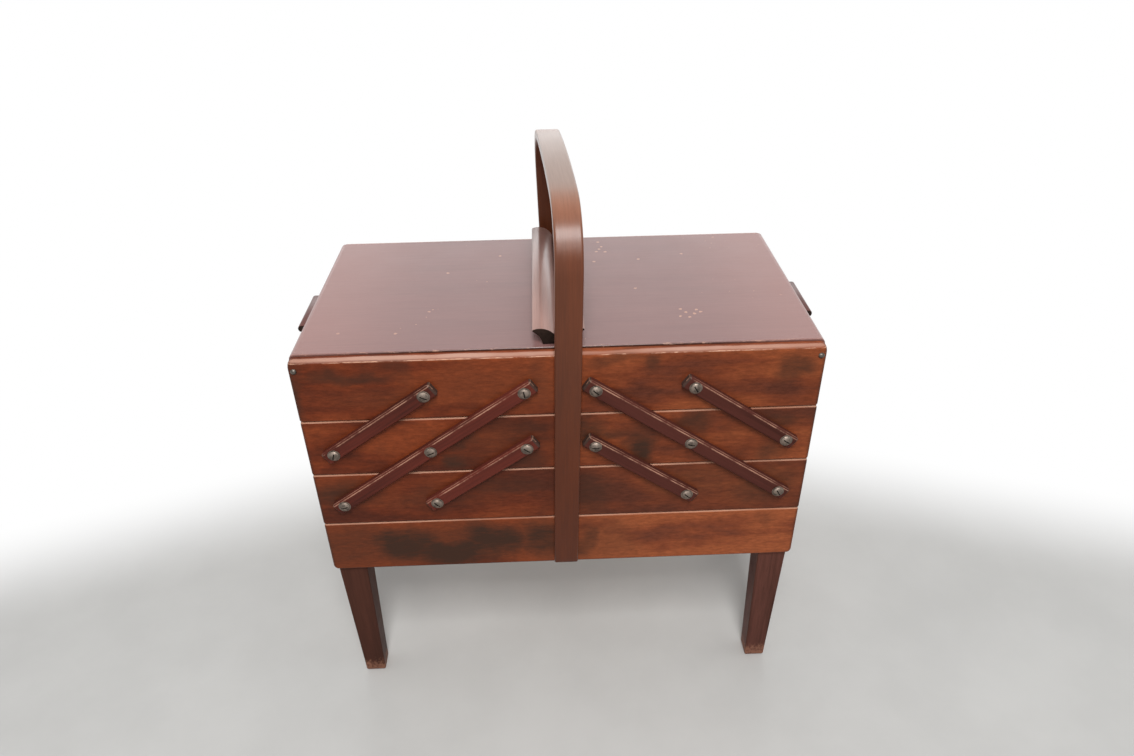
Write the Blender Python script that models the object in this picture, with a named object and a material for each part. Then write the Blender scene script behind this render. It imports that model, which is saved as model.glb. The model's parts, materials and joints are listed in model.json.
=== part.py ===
"""Accordion sewing stand: a wooden box of stacked trays on four legs.

The two upper tiers are split in the middle. Arms on the front and the back carry
them, so that the trays swing up and out to both sides and stay level. Each top tray
has a lid that turns on pins at its outer end. A bentwood hoop fixed to the base is
the carrying handle.

X runs along the front, Y from the front to the back and Z up from the floor. All
sizes are in metres. A piece is drawn in the right-hand back quarter and mirrored to
the others.
"""

import math

import bmesh
import bpy
from mathutils import Matrix, Vector

# Box
BOX_WIDTH = 0.450
BOX_DEPTH = 0.2425
TIER_PITCH = 0.0590
TOP_TIER_HEIGHT = 0.0635
WALL = 0.0070
END_WALL = 0.0085
INNER_WALL = 0.0070
CENTRE_GAP = 0.0010
TRAY_FLOOR = 0.0040
BASE_FLOOR = 0.0050
FLOOR_SEAT = 0.0035
SEAT_GAP = 0.0003

# Rounded edges of the boards
RIM_ROUND = 0.0045
TIER_ROUND = 0.0020
LOWER_EASE = 0.0012
OUTER_CORNER = 0.0055
TIER_CORNER = 0.0020
PLAN_ROUND = 0.0020

# Arms and their pivot screws
PIVOT_INNER = 0.0303
PIVOT_MARGIN = 0.0253
PIVOT_RISE = 0.0270
ARM_WIDTH = 0.0135
ARM_THICKNESS = 0.0060
ARM_HEAD = 0.0105
ARM_TAIL = 0.0100
ARM_CORNER = 0.0025
ARM_CHAMFER = 0.0016
SCREW_SHANK = 0.0045
SCREW_HEAD = 0.0090
SCREW_HEAD_HEIGHT = 0.0020
SCREW_DEPTH = 0.0045
PIVOT_CLEARANCE = 0.0003

# Lids, their hinge rails and pins
LID_THICKNESS = 0.0080
LID_SIDE_GAP = 0.0008
LID_REVEAL = 0.0004
LID_PROUD = 0.0018
LID_NOSE = 0.0050
LID_EASE = 0.0010
LID_PIN_INSET = 0.0048
LID_PIN_DROP = 0.0118
LID_PIN = 0.0028
LID_PIN_DEPTH = 0.0120
LID_PIN_HEAD = 0.0054
LID_PIN_HEAD_HEIGHT = 0.0014
LID_RAIL_WIDTH = 0.0120
LID_RUNNING_GAP = 0.0012

# Pull bars on the lids and on the outer ends of the top trays
LID_PULL_SETBACK = 0.0120
LID_PULL_FOOT = 0.0134
LID_PULL_REACH = 0.0220
LID_PULL_HEIGHT = 0.0150
LID_PULL_CREST = 0.0136
LID_PULL_INNER_HEIGHT = 0.0045
LID_PULL_LIP = 0.0022
END_PULL_LENGTH = 0.0620
END_PULL_DROP = 0.0180
END_PULL_REACH = 0.0150
END_PULL_HEIGHT = 0.0160
END_PULL_FOOT = 0.0075
END_PULL_LIP = 0.0070

# Legs and the rails that hold them
LEG_LENGTH = 0.1620
LEG_TOP = 0.0275
LEG_FOOT = 0.0205
LEG_INSET = 0.0035
LEG_EDGE = 0.0015
FOOT_EDGE = 0.0020
LEG_TENON = 0.0140
LEG_RAIL_WIDTH = 0.0300
LEG_RAIL_HEIGHT = 0.0160

# Hoop handle, a little off the middle: its bent strip has a slight wind, and its uprights lean clear of the trays
HANDLE_WIDTH = 0.0226
HANDLE_THICKNESS = 0.0080
HANDLE_RISE = 0.0692
HANDLE_CORNER = 0.0553
HANDLE_CORNER_ANGLE = math.radians(84.1)
HANDLE_FOOT = 0.0055
HANDLE_EDGE = 0.0016
HANDLE_SHIFT = 0.0022
HANDLE_WIND = 0.0077
HANDLE_LEAN = 0.0015

# Levels and places worked out from the sizes above
HALF_WIDTH = BOX_WIDTH / 2
HALF_DEPTH = BOX_DEPTH / 2
BASE_Z = LEG_LENGTH
UPPER_Z = BASE_Z + TIER_PITCH
MIDDLE_Z = UPPER_Z + TIER_PITCH
TOP_Z = MIDDLE_Z + TIER_PITCH
RIM_Z = TOP_Z + TOP_TIER_HEIGHT
INNER_X = CENTRE_GAP / 2
INSIDE_Y = HALF_DEPTH - WALL
PIVOT_STEP = (HALF_WIDTH - PIVOT_MARGIN - PIVOT_INNER) / 2
PIVOT_X = [PIVOT_INNER + PIVOT_STEP * count for count in range(3)]
PIVOT_Z = {"base": UPPER_Z + PIVOT_RISE, "middle": MIDDLE_Z + PIVOT_RISE, "top": TOP_Z + PIVOT_RISE}
ARM_ANGLE = math.atan2(TIER_PITCH, PIVOT_STEP)
ARM_SPAN = math.hypot(TIER_PITCH, PIVOT_STEP)
ARM_FACE_Y = HALF_DEPTH + SEAT_GAP
LID_PIN_X = HALF_WIDTH - LID_PIN_INSET
LID_PIN_Z = RIM_Z - LID_PIN_DROP
LID_OUTER_X = HALF_WIDTH - LID_REVEAL
LID_HALF_DEPTH = INSIDE_Y - LID_SIDE_GAP
LID_UNDER_Z = RIM_Z - LID_THICKNESS
RAIL_RADIUS = LID_OUTER_X - LID_PIN_X
END_TOP_Z = LID_PIN_Z - RAIL_RADIUS - LID_RUNNING_GAP

SIDES = {"left": -1, "right": 1}
FACES = {"front": -1, "back": 1}
SAME = 1e-6
ARC_STEPS = 4
ROUND_STEPS = 14


def clear_scene():
    for thing in list(bpy.data.objects):
        bpy.data.objects.remove(thing, do_unlink=True)


def new_collection(name):
    collection = bpy.data.collections.new(name)
    bpy.context.scene.collection.children.link(collection)
    return collection


def new_material(name, colour, roughness, metallic=0.0):
    material = bpy.data.materials.new(name)
    material.use_nodes = True
    shader = material.node_tree.nodes["Principled BSDF"]
    shader.inputs["Base Color"].default_value = (*colour, 1.0)
    shader.inputs["Roughness"].default_value = roughness
    shader.inputs["Metallic"].default_value = metallic
    return material


# Points and meshes

def arc(centre, radius, start, end, steps=ARC_STEPS):
    """Points of a round stretch, from the start angle to the end angle."""
    angles = [start + (end - start) * step / steps for step in range(steps + 1)]
    return [(centre[0] + radius * math.cos(a), centre[1] + radius * math.sin(a)) for a in angles]


def arc_through(first, middle, last, steps=6):
    """Points of the round stretch that runs through three points."""
    (ax, ay), (bx, by), (cx, cy) = first, middle, last
    cross = 2 * (ax * (by - cy) + bx * (cy - ay) + cx * (ay - by))
    a2, b2, c2 = ax * ax + ay * ay, bx * bx + by * by, cx * cx + cy * cy
    ux = (a2 * (by - cy) + b2 * (cy - ay) + c2 * (ay - by)) / cross
    uy = (a2 * (cx - bx) + b2 * (ax - cx) + c2 * (bx - ax)) / cross
    radius = math.hypot(ax - ux, ay - uy)
    start = math.atan2(ay - uy, ax - ux)
    through = (math.atan2(by - uy, bx - ux) - start) % math.tau
    turn = (math.atan2(cy - uy, cx - ux) - start) % math.tau
    if through > turn:
        turn -= math.tau
    return arc((ux, uy), radius, start, start + turn, steps)


def box(low, high):
    bm = bmesh.new()
    bmesh.ops.create_cube(bm, size=1.0)
    low, high = Vector(low), Vector(high)
    size = high - low
    bmesh.ops.scale(bm, vec=size, verts=bm.verts)
    bmesh.ops.translate(bm, vec=(low + high) / 2, verts=bm.verts)
    return bm


def rod(radius, start, end, centre_x, centre_z):
    """A round bar along Y."""
    bm = bmesh.new()
    bmesh.ops.create_cone(bm, cap_ends=True, segments=ROUND_STEPS, radius1=radius, radius2=radius, depth=end - start)
    bmesh.ops.rotate(bm, matrix=Matrix.Rotation(math.pi / 2, 3, "X"), verts=bm.verts)
    bmesh.ops.translate(bm, vec=(centre_x, (start + end) / 2, centre_z), verts=bm.verts)
    return bm


def post(radius, low, high, centre_x, centre_y):
    """A round bar along Z."""
    bm = bmesh.new()
    bmesh.ops.create_cone(bm, cap_ends=True, segments=ROUND_STEPS, radius1=radius, radius2=radius, depth=high - low)
    bmesh.ops.translate(bm, vec=(centre_x, centre_y, (low + high) / 2), verts=bm.verts)
    return bm


def join(pieces):
    """One mesh that holds several, each still a body of its own."""
    whole = bmesh.new()
    for bm in pieces:
        mesh = bpy.data.meshes.new("joined")
        bm.to_mesh(mesh)
        bm.free()
        whole.from_mesh(mesh)
        bpy.data.meshes.remove(mesh)
    return whole


def loft(sections):
    """A closed body through outlines that have the same number of points."""
    bm = bmesh.new()
    rings = [[bm.verts.new(point) for point in section] for section in sections]
    for ring, following in zip(rings, rings[1:]):
        for i in range(len(ring)):
            j = (i + 1) % len(ring)
            bm.faces.new((ring[i], ring[j], following[j], following[i]))
    bm.faces.new(rings[0])
    bm.faces.new(rings[-1])
    bmesh.ops.recalc_face_normals(bm, faces=bm.faces)
    return bm


def turned(profile, centre_x, centre_z):
    """A round body along Y, from (radius, y) points that start and end on its axis."""
    bm = bmesh.new()
    line = [bm.verts.new((radius, y, 0.0)) for radius, y in profile]
    edges = [bm.edges.new(pair) for pair in zip(line, line[1:])]
    bmesh.ops.spin(bm, geom=line + edges, axis=(0, 1, 0), cent=(0, 0, 0), angle=math.tau,
                   steps=ROUND_STEPS, use_merge=True)
    bmesh.ops.remove_doubles(bm, verts=bm.verts, dist=SAME)
    bmesh.ops.recalc_face_normals(bm, faces=bm.faces)
    bmesh.ops.translate(bm, vec=(centre_x, 0, centre_z), verts=bm.verts)
    return bm


def round_edges(bm, test, width, segments):
    edges = [edge for edge in bm.edges if test(edge.verts[0].co, edge.verts[1].co)]
    bmesh.ops.bevel(bm, geom=edges, offset=width, offset_type="OFFSET", affect="EDGES",
                    segments=segments, profile=0.5, material=-1)


# Boards

def board_section(inner, outer, low, high, top_round, low_round, seat_depth, seat_height):
    """Outline of a board across its length: thickness first, then height."""
    low_round = min(low_round, outer - inner - seat_depth)
    top_round = min(top_round, outer - inner)
    outline = arc((outer - low_round, low + low_round), low_round, -math.pi / 2, 0.0, 2)
    outline += arc((outer - top_round, high - top_round), top_round, 0.0, math.pi / 2)
    outline.append((inner - SAME, high))
    if seat_depth:
        outline.append((inner, low + seat_height))
        outline.append((inner + seat_depth, low + seat_height))
        outline.append((inner + seat_depth, low))
    else:
        outline.append((inner, low))
    return outline


def corner_drop(radius, distance):
    """How far a round corner falls back at a distance from the end."""
    if distance >= radius:
        return 0.0
    return radius - math.sqrt(radius * radius - (radius - distance) ** 2)


def board(start, end, inner, outer, low, high, rounds, corners, seat=(0.0, 0.0), both_ends=False):
    """A board in (length, thickness, height): rounded on its outer face and at its end corners."""
    low_corner, high_corner, plan_round = corners
    reach = max(corners)
    places = [end - reach * (1 - math.sin(math.pi / 2 * step / ARC_STEPS)) for step in range(ARC_STEPS + 1)]
    if reach == 0.0:
        places = [end]
    if both_ends:
        places = [start + end - place for place in reversed(places)] + places
    else:
        places = [start] + places
    sections = []
    for place in places:
        distance = end - place
        if both_ends:
            distance = min(distance, place - start)
        outline = board_section(
            inner, outer - corner_drop(plan_round, distance),
            low + corner_drop(low_corner, distance), high - corner_drop(high_corner, distance),
            *rounds, *seat)
        sections.append([(place, across, height) for across, height in outline])
    return loft(sections)


def turn_to_ends(bm):
    """Swaps length and thickness, so that a board runs from front to back."""
    for vert in bm.verts:
        vert.co.xy = vert.co.yx
    bmesh.ops.recalc_face_normals(bm, faces=bm.faces)
    return bm


def mirrored(bm, side=1, face=1):
    bmesh.ops.scale(bm, vec=(side, face, 1), verts=bm.verts)
    bmesh.ops.recalc_face_normals(bm, faces=bm.faces)
    return bm


def pivot_screws(places):
    """Screws with a low domed head, which the arms turn on."""
    shank, head = SCREW_SHANK / 2, SCREW_HEAD / 2
    under = ARM_FACE_Y + ARM_THICKNESS + SEAT_GAP
    dome = arc_through((head, under + SCREW_HEAD_HEIGHT * 0.3), (head * 0.62, under + SCREW_HEAD_HEIGHT * 0.82),
                       (0.0, under + SCREW_HEAD_HEIGHT), 4)
    profile = [(0.0, HALF_DEPTH - SCREW_DEPTH), (shank, HALF_DEPTH - SCREW_DEPTH), (shank, under), (head, under)]
    return join([turned(profile + dome, x, z) for x, z in places])


class Stand:
    """Builds the pieces into their collections, with one empty on each joint's axis."""

    def __init__(self):
        self.parts = new_collection("sewing_stand")
        self.cutters = new_collection("cutters")
        self.wood = new_material("board_wood", (0.16, 0.045, 0.02), 0.38)
        self.lid_wood = new_material("lid_wood", (0.14, 0.05, 0.035), 0.3)
        self.dark_wood = new_material("arm_wood", (0.085, 0.025, 0.018), 0.42)
        self.bent_wood = new_material("handle_wood", (0.13, 0.045, 0.022), 0.4)
        self.floor_wood = new_material("floor_wood", (0.35, 0.2, 0.1), 0.6)
        self.metal = new_material("bronzed_steel", (0.24, 0.18, 0.13), 0.4, 1.0)

    def pivot(self, name, x, z):
        empty = bpy.data.objects.new(name, None)
        empty.location = (x, 0.0, z)
        self.parts.objects.link(empty)
        return empty

    def add(self, name, bm, material, parent=None, collection=None):
        mesh = bpy.data.meshes.new(name)
        if parent is not None:
            bmesh.ops.translate(bm, vec=-parent.location, verts=bm.verts)
        bm.to_mesh(mesh)
        bm.free()
        mesh.materials.append(material)
        mesh.shade_smooth()
        mesh.set_sharp_from_angle(angle=math.radians(35))
        piece = bpy.data.objects.new(name, mesh)
        piece.parent = parent
        (collection or self.parts).objects.link(piece)
        return piece

    def cutter(self, name, bm):
        piece = self.add(name, bm, self.wood, collection=self.cutters)
        piece.hide_render = True
        piece.display_type = "WIRE"
        return piece

    def combine(self, piece, cutter, operation):
        modifier = piece.modifiers.new(cutter.name, "BOOLEAN")
        modifier.operation = operation
        modifier.object = cutter
        modifier.solver = "EXACT"


# Base

def base_frame(stand, tier, low, corners, seat, screws):
    high = low + TIER_PITCH - SEAT_GAP
    rounds = (TIER_ROUND, LOWER_EASE)
    for face, towards in FACES.items():
        front = board(-HALF_WIDTH, HALF_WIDTH, INSIDE_Y, HALF_DEPTH, low, high, rounds, corners, seat, both_ends=True)
        piece = stand.add(f"base_{tier}_{face}", mirrored(front, 1, towards), stand.wood)
        if screws:
            heads = stand.cutter(f"screws_{piece.name}", mirrored(pivot_screws(screws), 1, towards))
            stand.combine(piece, heads, "UNION")
    length = INSIDE_Y - SEAT_GAP
    for side, towards in SIDES.items():
        end = turn_to_ends(board(-length, length, HALF_WIDTH - END_WALL, HALF_WIDTH, low, high,
                                 rounds, (0.0, 0.0, 0.0), seat))
        stand.add(f"base_{tier}_{side}_end", mirrored(end, towards), stand.wood)


def base(stand):
    seat = (FLOOR_SEAT, BASE_FLOOR + SEAT_GAP)
    base_frame(stand, "lower", BASE_Z, (OUTER_CORNER, TIER_CORNER, PLAN_ROUND), seat, [])
    places = [(towards * x, PIVOT_Z["base"]) for towards in SIDES.values() for x in PIVOT_X[1:]]
    base_frame(stand, "upper", UPPER_Z, (TIER_CORNER, TIER_CORNER, PLAN_ROUND), (0.0, 0.0), places)

    half_x = HALF_WIDTH - END_WALL + FLOOR_SEAT - SEAT_GAP
    half_y = INSIDE_Y + FLOOR_SEAT - SEAT_GAP
    floor = stand.add("base_floor", box((-half_x, -half_y, BASE_Z), (half_x, half_y, BASE_Z + BASE_FLOOR)),
                      stand.floor_wood)

    outer_x = HALF_WIDTH - END_WALL - SEAT_GAP
    rail_y = INSIDE_Y - SEAT_GAP
    rail_z = BASE_Z + BASE_FLOOR + SEAT_GAP
    leg_x = HALF_WIDTH - LEG_INSET - LEG_TOP / 2
    leg_y = HALF_DEPTH - LEG_INSET - LEG_TOP / 2
    hole = LEG_TENON / 2 + SEAT_GAP
    above = rail_z + LEG_RAIL_HEIGHT + LEG_TENON
    holes = stand.cutter("leg_holes", join([
        post(hole, 0.0, above, towards_x * leg_x, towards_y * leg_y)
        for towards_x in SIDES.values() for towards_y in FACES.values()]))
    stand.combine(floor, holes, "DIFFERENCE")
    for side, towards in SIDES.items():
        rail = box((outer_x - LEG_RAIL_WIDTH, -rail_y, rail_z), (outer_x, rail_y, rail_z + LEG_RAIL_HEIGHT))
        round_edges(rail, lambda a, b: min(a.z, b.z) > rail_z + SAME and max(a.x, b.x) < outer_x - SAME,
                    LEG_EDGE, 2)
        piece = stand.add(f"leg_rail_{side}", mirrored(rail, towards), stand.floor_wood)
        stand.combine(piece, holes, "DIFFERENCE")
        for face, towards_y in FACES.items():
            leg(stand, f"leg_{face}_{side}", towards * leg_x, towards_y * leg_y, rail_z + LEG_RAIL_HEIGHT)


def leg(stand, name, x, y, tenon_top):
    """A square leg that tapers to its foot, with a round tenon on top."""
    top = BASE_Z - SEAT_GAP
    shaft = box((-LEG_TOP / 2, -LEG_TOP / 2, 0.0), (LEG_TOP / 2, LEG_TOP / 2, top))
    feet = [vert for vert in shaft.verts if vert.co.z < top / 2]
    taper = LEG_FOOT / LEG_TOP
    bmesh.ops.scale(shaft, vec=(taper, taper, 1), verts=feet)
    round_edges(shaft, lambda a, b: abs(a.z - b.z) > top / 2, LEG_EDGE, 2)
    round_edges(shaft, lambda a, b: max(a.z, b.z) < SAME, FOOT_EDGE, 2)
    bmesh.ops.translate(shaft, vec=(x, y, 0), verts=shaft.verts)
    piece = stand.add(name, shaft, stand.dark_wood)
    tenon = stand.cutter(f"tenon_{name}", post(LEG_TENON / 2, top - LEG_TENON / 2, tenon_top, x, y))
    stand.combine(piece, tenon, "UNION")


def handle(stand):
    """The bent hoop: a flat strip that follows two uprights, two corners and a low arch."""
    inner = HALF_DEPTH + SEAT_GAP
    outer = inner + HANDLE_THICKNESS
    foot = BASE_Z + HANDLE_FOOT
    spring = RIM_Z + HANDLE_RISE
    corner_y = outer - HANDLE_CORNER
    arch = HANDLE_CORNER + corner_y / math.cos(HANDLE_CORNER_ANGLE)
    arch_z = spring - (arch - HANDLE_CORNER) * math.sin(HANDLE_CORNER_ANGLE)
    crown = arch_z + arch

    strip = box((-HANDLE_WIDTH / 2, -outer, foot), (HANDLE_WIDTH / 2, -inner, spring))
    strip.faces.ensure_lookup_table()
    lead = max(strip.faces, key=lambda face: face.calc_center_median().z)
    turns = ((-corner_y, spring, HANDLE_CORNER_ANGLE, 9),
             (0.0, arch_z, math.pi - 2 * HANDLE_CORNER_ANGLE, 6),
             (corner_y, spring, HANDLE_CORNER_ANGLE, 9))
    for centre_y, centre_z, angle, steps in turns:
        result = bmesh.ops.spin(strip, geom=[lead, *lead.edges, *lead.verts], cent=(0, centre_y, centre_z),
                                axis=(1, 0, 0), angle=-angle, steps=steps, use_duplicate=False)
        lead = next(item for item in result["geom_last"] if isinstance(item, bmesh.types.BMFace))
    result = bmesh.ops.extrude_face_region(strip, geom=[lead])
    moved = [item for item in result["geom"] if isinstance(item, bmesh.types.BMVert)]
    bmesh.ops.translate(strip, vec=(0, 0, foot - spring), verts=moved)
    bmesh.ops.delete(strip, geom=[lead], context="FACES_ONLY")
    bmesh.ops.remove_doubles(strip, verts=strip.verts, dist=SAME)
    bmesh.ops.recalc_face_normals(strip, faces=strip.faces)
    round_edges(strip, lambda a, b: abs(a.x - b.x) < SAME, HANDLE_EDGE, 2)
    for vert in strip.verts:
        rise = (vert.co.z - foot) / (crown - foot)
        lean = HANDLE_LEAN * min((vert.co.z - foot) / (spring - foot), 1.0)
        vert.co.x += HANDLE_SHIFT - HANDLE_WIND * rise * vert.co.y / inner
        vert.co.y *= 1 + lean / inner
    stand.add("handle_hoop", strip, stand.bent_wood)


# Trays

def tray(stand, tier, side, low, heights, screw_steps, corners, top_round, pivot):
    """Front, back, end and inner boards and the floor of one tray."""
    towards = SIDES[side]
    high, end_high, inner_high = heights
    seat = (FLOOR_SEAT, TRAY_FLOOR + SEAT_GAP)
    pieces = {}
    for face, towards_y in FACES.items():
        front = board(INNER_X, HALF_WIDTH, INSIDE_Y, HALF_DEPTH, low, high, (top_round, LOWER_EASE), corners, seat)
        name = f"{tier}_{side}_{face}"
        pieces[face] = stand.add(name, mirrored(front, towards, towards_y), stand.wood, pivot)
        places = [(PIVOT_X[step], low + PIVOT_RISE) for step in screw_steps]
        heads = stand.cutter(f"screws_{name}", mirrored(pivot_screws(places), towards, towards_y))
        stand.combine(pieces[face], heads, "UNION")
    length = INSIDE_Y - SEAT_GAP
    outer = turn_to_ends(board(-length, length, HALF_WIDTH - END_WALL, HALF_WIDTH, low, end_high,
                               (TIER_ROUND, LOWER_EASE), (0.0, 0.0, 0.0), seat))
    pieces["outer_end"] = stand.add(f"{tier}_{side}_outer_end", mirrored(outer, towards), stand.wood, pivot)
    inner = board(-length, length, -INNER_X - INNER_WALL, -INNER_X, low, inner_high,
                  (LOWER_EASE, LOWER_EASE), (0.0, 0.0, 0.0), seat)
    stand.add(f"{tier}_{side}_inner_end", mirrored(turn_to_ends(inner), -towards), stand.wood, pivot)
    floor = box((INNER_X + INNER_WALL - FLOOR_SEAT + SEAT_GAP, -INSIDE_Y - FLOOR_SEAT + SEAT_GAP, low),
                (HALF_WIDTH - END_WALL + FLOOR_SEAT - SEAT_GAP, INSIDE_Y + FLOOR_SEAT - SEAT_GAP, low + TRAY_FLOOR))
    stand.add(f"{tier}_{side}_floor", mirrored(floor, towards), stand.floor_wood, pivot)
    return pieces


def middle_tray(stand, side):
    high = MIDDLE_Z + TIER_PITCH - SEAT_GAP
    pivot = stand.pivot(f"{side}_middle_pivot", SIDES[side] * PIVOT_X[1], PIVOT_Z["middle"])
    tray(stand, "middle", side, MIDDLE_Z, (high, high, high), range(3),
         (TIER_CORNER, TIER_CORNER, PLAN_ROUND), TIER_ROUND, pivot)


def top_tray(stand, side):
    towards = SIDES[side]
    pivot = stand.pivot(f"{side}_top_pivot", towards * PIVOT_X[0], PIVOT_Z["top"])
    heights = (RIM_Z - LID_PROUD, END_TOP_Z, LID_UNDER_Z - SEAT_GAP)
    pieces = tray(stand, "top", side, TOP_Z, heights, range(2),
                  (TIER_CORNER, OUTER_CORNER, PLAN_ROUND), RIM_ROUND, pivot)
    clear = LID_PIN / 2 + PIVOT_CLEARANCE
    for face, towards_y in FACES.items():
        hole = rod(clear, INSIDE_Y - WALL, HALF_DEPTH + WALL, LID_PIN_X, LID_PIN_Z)
        stand.combine(pieces[face], stand.cutter(f"pin_hole_{side}_{face}", mirrored(hole, towards, towards_y)),
                      "DIFFERENCE")
        under = HALF_DEPTH + SEAT_GAP
        head = LID_PIN_HEAD / 2
        dome = arc_through((head, under), (head * 0.7, under + LID_PIN_HEAD_HEIGHT * 0.72),
                           (0.0, under + LID_PIN_HEAD_HEIGHT), 4)
        tip = LID_HALF_DEPTH - LID_PIN_DEPTH
        shaft = [(0.0, tip), (LID_PIN / 2, tip), (LID_PIN / 2, under)]
        pin = turned(shaft + dome, LID_PIN_X, LID_PIN_Z)
        stand.add(f"lid_pin_{side}_{face}", mirrored(pin, towards, towards_y), stand.metal, pivot)
    end_pull(stand, side, pivot)


def pull_bar(outline, half_length):
    return loft([[(x, place, z) for x, z in outline] for place in (-half_length, half_length)])


def end_pull(stand, side, pivot):
    """A short bar with a rounded nose and a finger hollow beneath."""
    wall, top = HALF_WIDTH + SEAT_GAP, RIM_Z - END_PULL_DROP
    reach = HALF_WIDTH + END_PULL_REACH
    foot = HALF_WIDTH + END_PULL_FOOT
    low = top - END_PULL_HEIGHT
    nose = END_PULL_LIP / 2
    outline = [(wall, low), (wall, top)]
    outline += arc((reach - nose, top - nose), nose, math.pi / 2, -math.pi / 3, 6)
    lip = outline[-1]
    outline += arc_through(lip, ((lip[0] + foot) / 2 - nose / 2, lip[1] - nose / 2), (foot, low))[1:]
    stand.add(f"end_pull_{side}", mirrored(pull_bar(outline, END_PULL_LENGTH / 2), SIDES[side]),
              stand.dark_wood, pivot)


def lid(stand, side):
    """Lid, the hinge rail under its outer end and the pull bar along its inner edge."""
    towards = SIDES[side]
    pivot = stand.pivot(f"{side}_lid_pivot", towards * LID_PIN_X, LID_PIN_Z)
    panel = board(-LID_HALF_DEPTH, LID_HALF_DEPTH, INNER_X, LID_OUTER_X, LID_UNDER_Z, RIM_Z,
                  (LID_NOSE, LID_EASE), (0.0, LID_EASE, 0.0), both_ends=True)
    stand.add(f"lid_{side}", mirrored(turn_to_ends(panel), towards), stand.lid_wood, pivot)

    rail = board(-LID_HALF_DEPTH, LID_HALF_DEPTH, LID_OUTER_X - LID_RAIL_WIDTH, LID_OUTER_X,
                 LID_PIN_Z - RAIL_RADIUS, LID_UNDER_Z - SEAT_GAP, (LID_EASE, RAIL_RADIUS), (0.0, 0.0, 0.0))
    piece = stand.add(f"lid_rail_{side}", mirrored(turn_to_ends(rail), towards), stand.lid_wood, pivot)
    clear = LID_PIN / 2 + PIVOT_CLEARANCE
    tip = LID_HALF_DEPTH - LID_PIN_DEPTH - PIVOT_CLEARANCE
    holes = join([mirrored(rod(clear, tip, HALF_DEPTH, LID_PIN_X, LID_PIN_Z), towards, towards_y)
                  for towards_y in FACES.values()])
    stand.combine(piece, stand.cutter(f"rail_holes_{side}", holes), "DIFFERENCE")

    low = RIM_Z + SEAT_GAP
    lip_top = (LID_PULL_REACH - LID_PULL_LIP / 4, RIM_Z + LID_PULL_HEIGHT - LID_PULL_LIP / 2)
    lip_under = (LID_PULL_REACH - LID_PULL_LIP / 2, lip_top[1] - LID_PULL_LIP)
    outline = [(INNER_X, low)]
    outline += arc_through((INNER_X, RIM_Z + LID_PULL_INNER_HEIGHT),
                           (LID_PULL_CREST, RIM_Z + LID_PULL_HEIGHT), lip_top, 8)
    outline.append((LID_PULL_REACH, (lip_top[1] + lip_under[1]) / 2))
    hollow = ((lip_under[0] + LID_PULL_FOOT) / 2 - LID_PULL_LIP / 2, (lip_under[1] + low) / 2 + LID_PULL_LIP / 2)
    outline += arc_through(lip_under, hollow, (LID_PULL_FOOT, low))
    bar = pull_bar(outline, HALF_DEPTH - LID_PULL_SETBACK)
    stand.add(f"lid_pull_{side}", mirrored(bar, towards), stand.dark_wood, pivot)


# Arms

def arm(stand, name, side, face, start, spans, pivot):
    """A flat bar from its lowest pivot up and inwards, with a hole for each screw."""
    towards, towards_y = SIDES[side], FACES[face]
    length = ARM_SPAN * spans
    bar = box((-ARM_TAIL, ARM_FACE_Y, -ARM_WIDTH / 2), (length + ARM_HEAD, ARM_FACE_Y + ARM_THICKNESS, ARM_WIDTH / 2))
    round_edges(bar, lambda a, b: abs(a.y - b.y) > SAME, ARM_CORNER, 3)
    outer_y = ARM_FACE_Y + ARM_THICKNESS
    round_edges(bar, lambda a, b: min(a.y, b.y) > outer_y - SAME, ARM_CHAMFER, 1)
    bmesh.ops.scale(bar, vec=(1, towards_y, 1), verts=bar.verts)
    bmesh.ops.recalc_face_normals(bar, faces=bar.faces)
    mesh = bpy.data.meshes.new(name)
    bar.to_mesh(mesh)
    bar.free()
    mesh.materials.append(stand.dark_wood)
    mesh.shade_smooth()
    mesh.set_sharp_from_angle(angle=math.radians(35))
    piece = bpy.data.objects.new(name, mesh)
    piece.parent = pivot
    piece.rotation_euler = (0.0, -ARM_ANGLE if side == "left" else ARM_ANGLE - math.pi, 0.0)
    stand.parts.objects.link(piece)
    step, level = start
    hole = SCREW_SHANK / 2 + PIVOT_CLEARANCE
    holes = [rod(hole, HALF_DEPTH, ARM_FACE_Y + 2 * ARM_THICKNESS, PIVOT_X[step - count], level + TIER_PITCH * count)
             for count in range(spans + 1)]
    stand.combine(piece, stand.cutter(f"holes_{name}", mirrored(join(holes), towards, towards_y)), "DIFFERENCE")


def arms(stand, side):
    """The long arm and the two short ones, on the front and on the back."""
    kinds = {"long": ((2, PIVOT_Z["base"]), 2), "lower": ((1, PIVOT_Z["base"]), 1), "upper": ((2, PIVOT_Z["middle"]), 1)}
    for kind, (start, spans) in kinds.items():
        pivot = stand.pivot(f"{side}_{kind}_arms_pivot", SIDES[side] * PIVOT_X[start[0]], start[1])
        for face in FACES:
            arm(stand, f"arm_{kind}_{side}_{face}", side, face, start, spans, pivot)


def main():
    clear_scene()
    stand = Stand()
    base(stand)
    handle(stand)
    for side in SIDES:
        middle_tray(stand, side)
        top_tray(stand, side)
        lid(stand, side)
        arms(stand, side)


main()
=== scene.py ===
"""Looks of a wooden accordion sewing stand: varnish, wear, screws, bent handle, pulls, light and camera.

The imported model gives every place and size. Its boards, arms, legs and lids stay and get their finish
here. The handle, the pulls and the screw heads are modelled again with finer shapes.
"""

import json
import math

import bmesh
import bpy
from bpy.props import FloatProperty, FloatVectorProperty, PointerProperty
from mathutils import Matrix, Vector


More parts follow.
